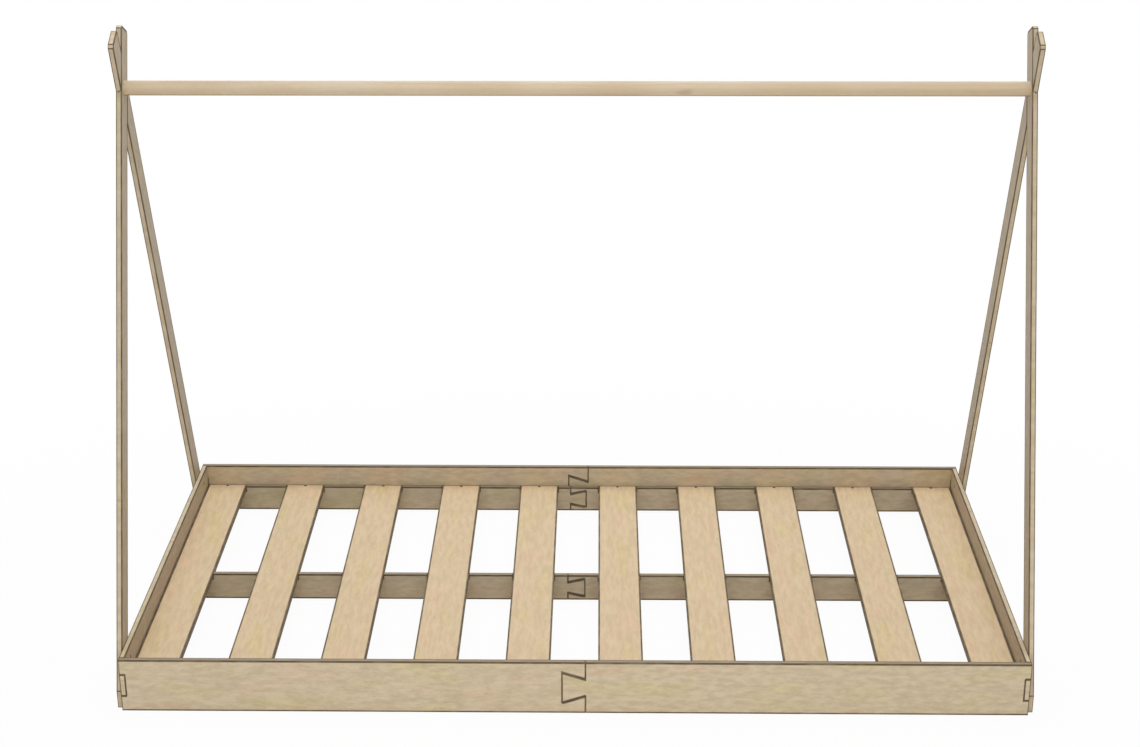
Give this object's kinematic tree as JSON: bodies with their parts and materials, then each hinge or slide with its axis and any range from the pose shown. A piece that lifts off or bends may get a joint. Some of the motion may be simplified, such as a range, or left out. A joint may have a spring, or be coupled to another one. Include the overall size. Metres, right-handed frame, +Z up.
{
  "type": "teepee bed",
  "caption": "Low child's bed of interlocked plywood boards on the floor, with slats, a pair of crossed poles at each end and a round ridge pole to hang a canopy on.",
  "frame": {"origin": "on the floor, under the middle of the bed", "axes": "+X along the bed to the right as seen from the front, +Y from front to back, +Z up"},
  "size_m": [1.973, 1.009, 1.3763],
  "materials": {
    "plywood": "clear matt oil over pale oak-faced plywood, with darker cut edges",
    "round_bar": "sanded and clear oiled",
    "screw_steel": "plain zinc plated"
  },
  "bodies": {
    "root": {"back_bearer_left": "plywood", "back_bearer_right": "plywood", "back_rail_left": "plywood", "back_rail_right": "plywood", "centre_bearer_left": "plywood", "centre_bearer_right": "plywood", "front_bearer_left": "plywood", "front_bearer_right": "plywood", "front_rail_left": "plywood", "front_rail_right": "plywood", "left_back_pole": "plywood", "left_end_board": "plywood", "left_front_pole": "plywood", "pole_screws": "screw_steel", "ridge_pole": "round_bar", "ridge_screws": "screw_steel", "right_back_pole": "plywood", "right_end_board": "plywood", "right_front_pole": "plywood", "slat_01": "plywood", "slat_02": "plywood", "slat_03": "plywood", "slat_04": "plywood", "slat_05": "plywood", "slat_06": "plywood", "slat_07": "plywood", "slat_08": "plywood", "slat_09": "plywood", "slat_10": "plywood", "slat_screws": "screw_steel"}
  },
  "joints": []
}
